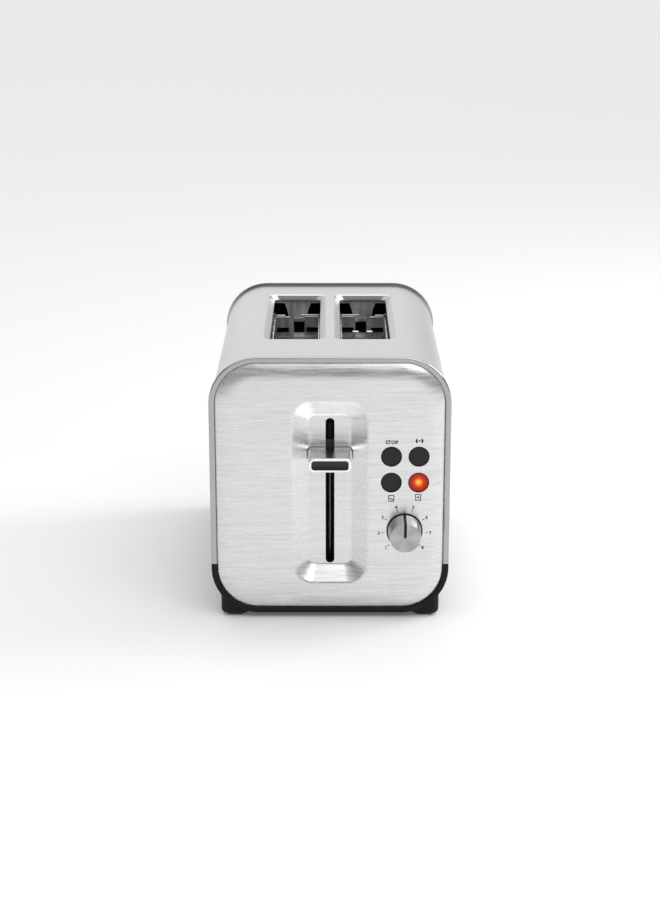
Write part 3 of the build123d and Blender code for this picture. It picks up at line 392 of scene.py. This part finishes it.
def print_on_panel(name, flat):
    """Lays a flat bmesh, drawn in x and z, on the panel as a thin layer of ink."""
    bmesh.ops.triangulate(flat, faces=flat.faces)
    for vertex in flat.verts:
        vertex.co.y = panel_y(vertex.co.x, vertex.co.z) - INK
    made = bmesh.ops.extrude_face_region(flat, geom=flat.faces[:])
    for item in made["geom"]:
        if isinstance(item, bmesh.types.BMVert):
            item.co.y += INK * 0.9
    return finish_piece(name, flat, "mark_black", "housing")


def stroke(mesh, points, width, closed=False):
    """Adds a line of even width along points to a flat bmesh, with mitred corners."""
    points = [Vector((x, 0, z)) for x, z in points]
    count = len(points)
    sides = []
    for i, point in enumerate(points):
        before = points[i - 1] if closed or i > 0 else None
        after = points[(i + 1) % count] if closed or i < count - 1 else None
        into = (point - before).normalized() if before else (after - point).normalized()
        out = (after - point).normalized() if after else into
        along = (into + out).normalized()
        square = Vector((-along.z, 0, along.x))
        reach = width / 2 / max(0.4, along.dot(into))
        sides.append((mesh.verts.new(point - square * reach), mesh.verts.new(point + square * reach)))
    for i in range(count if closed else count - 1):
        a, b = sides[i], sides[(i + 1) % count]
        mesh.faces.new((a[0], b[0], b[1], a[1]))


def words(name, text, x, z, size):
    """Prints text centred on (x, z). Size is the height of the letters."""
    curve = bpy.data.curves.new(name, "FONT")
    curve.body = text
    curve.align_x = "CENTER"
    curve.align_y = "CENTER"
    curve.size = size / CAPITAL_SHARE
    curve.offset = size * BOLDER
    curve.resolution_u = 4
    letters = bpy.data.objects.new(name, curve)
    bpy.context.scene.collection.objects.link(letters)
    bpy.context.view_layer.update()
    outline = bpy.data.meshes.new_from_object(letters)
    bpy.data.objects.remove(letters)
    flat = bmesh.new()
    flat.from_mesh(outline)
    bpy.data.meshes.remove(outline)
    bmesh.ops.remove_doubles(flat, verts=flat.verts, dist=1e-6)
    upright = Matrix.Translation((x, 0, z)) @ Matrix.Rotation(math.pi / 2, 4, "X")
    bmesh.ops.transform(flat, matrix=upright, verts=flat.verts)
    return print_on_panel(name, flat)


DIAL_NUMBERS = 8
DIAL_SWEEP = math.radians(JOINTS["dial_turn"]["range_deg"][1] - JOINTS["dial_turn"]["range_deg"][0])
NUMBER_RADIUS = 20.6 * MM
NUMBER_HEIGHT = 2.6 * MM
STOP_HEIGHT = 2.9 * MM
TICK_RADII = (16.9 * MM, 18.5 * MM)
TICK_WIDTH = 0.6 * MM

ticks = bmesh.new()
for i in range(DIAL_NUMBERS):
    angle = math.pi / 2 + DIAL_SWEEP / 2 - DIAL_SWEEP * i / (DIAL_NUMBERS - 1)
    across, up = math.cos(angle), math.sin(angle)
    number_x, number_z = DIAL.x + NUMBER_RADIUS * across, DIAL.z + NUMBER_RADIUS * up
    words(f"dial_number_{i + 1}", str(i + 1), number_x, number_z, NUMBER_HEIGHT)
    ends = [(DIAL.x + radius * across, DIAL.z + radius * up) for radius in TICK_RADII]
    stroke(ticks, ends, TICK_WIDTH)
print_on_panel("dial_ticks", ticks)

stop = middle("stop_button")
words("stop_word", "STOP", stop.x + 0.2 * MM, stop.z + 11.6 * MM, STOP_HEIGHT)


def slice_outline(x, z):
    """The outline of a slice of bread, 5 mm across, centred on (x, z)."""
    side, waist, top = 2.35 * MM, 1.95 * MM, 2.5 * MM
    neck = z + 0.9 * MM
    ear = 0.8 * MM  # radius of each rounded top corner
    points = [(x - waist, z - top), (x + waist, z - top), (x + waist, neck)]
    for step in (0, 1, 2, 3, 5, 6, 7, 8):
        angle = math.radians(-50 + 280 * step / 8)
        ear_x = x + side - ear if step < 4 else x - side + ear
        points.append((ear_x + ear * math.cos(angle), z + top - ear + ear * math.sin(angle)))
    points.append((x - waist, neck))
    return points


reheat = middle("reheat_button")
icon = bmesh.new()
icon_x, icon_z = reheat.x + 0.1 * MM, reheat.z - 13.2 * MM
stroke(icon, slice_outline(icon_x, icon_z), LINE, closed=True)
wave = []
for i in range(11):
    rise = math.sin(2 * math.pi * i / 10)
    wave.append((icon_x + (i / 10 - 0.5) * 3.0 * MM, icon_z - 0.6 * MM + 0.6 * MM * rise))
stroke(icon, wave, LINE)
print_on_panel("reheat_icon", icon)

defrost = middle("defrost_button")
icon = bmesh.new()
icon_x, icon_z = defrost.x - 0.2 * MM, defrost.z - 12.3 * MM
stroke(icon, slice_outline(icon_x, icon_z), LINE, closed=True)
for i in range(3):
    angle = math.radians(30 + 60 * i)
    reach_x, reach_z = 1.15 * MM * math.cos(angle), 1.15 * MM * math.sin(angle)
    stroke(icon, [(icon_x - reach_x, icon_z - reach_z), (icon_x + reach_x, icon_z + reach_z)], THIN_LINE)
print_on_panel("defrost_icon", icon)

bagel = middle("bagel_button")
icon = bmesh.new()
icon_x, icon_z = bagel.x + 0.2 * MM, bagel.z + 12.9 * MM
BUN_GAP = 1.5 * MM  # from the middle to each half's cut side
for hand in (-1, 1):
    # half a bun, its cut side towards the middle
    rim = [(icon_x + hand * BUN_GAP, icon_z - 1.9 * MM)]
    for i in range(9):
        angle = math.radians(-80 + 20 * i)
        out = BUN_GAP + 1.6 * MM * math.cos(angle)
        rim.append((icon_x + hand * out, icon_z + 1.95 * MM * math.sin(angle)))
    rim.append((icon_x + hand * BUN_GAP, icon_z + 1.9 * MM))
    rim.append((icon_x + hand * 2.1 * MM, icon_z))
    icon.faces.new([icon.verts.new((x, 0, z)) for x, z in rim])
reach, rise = 1.1 * MM, 0.3 * MM
hat = [(icon_x - reach, icon_z - rise), (icon_x, icon_z + rise), (icon_x + reach, icon_z - rise)]
stroke(icon, hat, LINE)
print_on_panel("bagel_icon", icon)


# ================================================================================================
# Lift spring: a coil of wire in place of the CAD spring, between the rod bracket and the carriage
# ================================================================================================
SPRING_TURNS = 14
SPRING_WIRE = 0.5 * MM  # the wire's radius


def coil(name, low, high, turns, wire):
    """A coil of round wire, of radius wire, that fills a box."""
    centre = (low + high) / 2
    radius = (high.x - low.x) / 2 - wire
    ring = 10
    steps = turns * 24
    mesh = bmesh.new()
    rows = []
    for i in range(steps + 1):
        share = i / steps
        angle = 2 * math.pi * turns * share
        point = Vector((centre.x + radius * math.cos(angle), centre.y + radius * math.sin(angle), 0))
        point.z = low.z + wire + (high.z - low.z - 2 * wire) * share
        outward = Vector((math.cos(angle), math.sin(angle), 0))
        row = []
        for j in range(ring):
            turn = 2 * math.pi * j / ring
            offset = outward * wire * math.cos(turn) + Vector((0, 0, wire * math.sin(turn)))
            row.append(mesh.verts.new(point + offset))
        rows.append(row)
    for a, b in zip(rows, rows[1:]):
        for j in range(ring):
            mesh.faces.new((a[j], a[(j + 1) % ring], b[(j + 1) % ring], b[j]))
    mesh.faces.new(rows[0])
    mesh.faces.new(rows[-1][::-1])
    return finish_piece(name, mesh, "spring_steel", None, smooth=True)


spring_low, spring_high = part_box("lift_spring")
lift_coil = coil("lift_spring_coil", spring_low, spring_high, SPRING_TURNS, SPRING_WIRE)
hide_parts("lift_spring")
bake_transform(lift_coil)


# ================================================================================================
# Studio: floor, lights, camera
# ================================================================================================
FLOOR_HALF_WIDTH = 40.0
FLOOR_GREY = 0.65
FLOOR_GLOW = 0.1
WALL_LIGHT = 0.28
REAR_WALL_LIGHT = 0.7
CEILING_LIGHT = 1.1
KEY_WATTS = 19
BACK_WATTS = 13
CAMERA_PLACE = (0.0, -1.5008, 0.5697)
CAMERA_TILT = math.radians(72.683)  # from straight down
CAMERA_LENS = 73.26  # millimetres, on a sensor 36 mm wide


def floor():
    """A wide pale floor with a faint glow of its own, which softens the shadows."""
    mesh = bmesh.new()
    bmesh.ops.create_grid(mesh, x_segments=1, y_segments=1, size=FLOOR_HALF_WIDTH)
    data = bpy.data.meshes.new("studio_floor")
    mesh.to_mesh(data)
    mesh.free()
    plane = bpy.data.objects.new("studio_floor", data)
    bpy.context.scene.collection.objects.link(plane)
    look = Look("studio_floor", grey(FLOOR_GREY), roughness=0.8)
    look.shader.inputs["Emission Color"].default_value = (1, 1, 1, 1)
    look.shader.inputs["Emission Strength"].default_value = FLOOR_GLOW
    data.materials.append(look.material)


def softbox(name, place, target, size, watts):
    """A white rectangular area light at place, facing target."""
    data = bpy.data.lights.new(name, "AREA")
    data.shape = "RECTANGLE"
    data.size, data.size_y = size
    data.energy = watts
    lamp = bpy.data.objects.new(name, data)
    bpy.context.scene.collection.objects.link(lamp)
    lamp.location = place
    lamp.rotation_mode = "QUATERNION"
    lamp.rotation_quaternion = (Vector(target) - Vector(place)).to_track_quat("-Z", "Y")


def camera():
    """The view from in front, 17.3 degrees down, with the whole front and the slots in sight."""
    data = bpy.data.cameras.new("camera")
    data.lens = CAMERA_LENS
    data.sensor_width = 36.0
    made = bpy.data.objects.new("camera", data)
    bpy.context.scene.collection.objects.link(made)
    made.location = CAMERA_PLACE
    made.rotation_euler = (CAMERA_TILT, 0, 0)
    bpy.context.scene.camera = made


def surroundings():
    """A pale room: a bright ceiling, a bright wall behind, and darker walls in front and at the sides."""
    world = bpy.data.worlds.new("studio")
    bpy.context.scene.world = world
    world.use_nodes = True
    tree = world.node_tree
    background = tree.nodes["Background"]
    split = tree.nodes.new("ShaderNodeSeparateXYZ")
    tree.links.new(tree.nodes.new("ShaderNodeTexCoord").outputs["Generated"], split.inputs[0])

    def fade(axis, start, end, low, high):
        """Brightness that goes smoothly from low to high as the direction's part along an axis does so."""
        made = tree.nodes.new("ShaderNodeMapRange")
        made.interpolation_type = "SMOOTHSTEP"
        tree.links.new(split.outputs[axis], made.inputs["Value"])
        for socket, value in zip(("From Min", "From Max", "To Min", "To Max"), (start, end, low, high)):
            made.inputs[socket].default_value = value
        return made.outputs["Result"]

    def combine(operation, first, second):
        made = tree.nodes.new("ShaderNodeMath")
        made.operation = operation
        for socket, value in zip(made.inputs, (first, second)):
            if isinstance(value, bpy.types.NodeSocket):
                tree.links.new(value, socket)
            else:
                socket.default_value = value
        return made.outputs[0]

    rear_wall = fade("Y", 0.15, 0.75, 0, REAR_WALL_LIGHT)
    behind = combine("MULTIPLY", rear_wall, fade("X", 0.05, 0.6, 1.0, 0.35))
    walls = combine("ADD", behind, WALL_LIGHT)
    total = combine("ADD", walls, fade("Z", 0.56, 0.72, 0, CEILING_LIGHT))
    tree.links.new(total, background.inputs["Strength"])
    background.inputs["Color"].default_value = (1, 1, 1, 1)


floor()
surroundings()
softbox("key_light", (1.0, -1.7, 2.0), (0.2, -0.5, 0.0), (2.0, 1.5), KEY_WATTS)
softbox("back_light", (1.25, 0.3, 1.0), (-0.15, -0.2, 0), (0.7, 0.6), BACK_WATTS)
camera()
bpy.context.scene.view_settings.view_transform = "Standard"
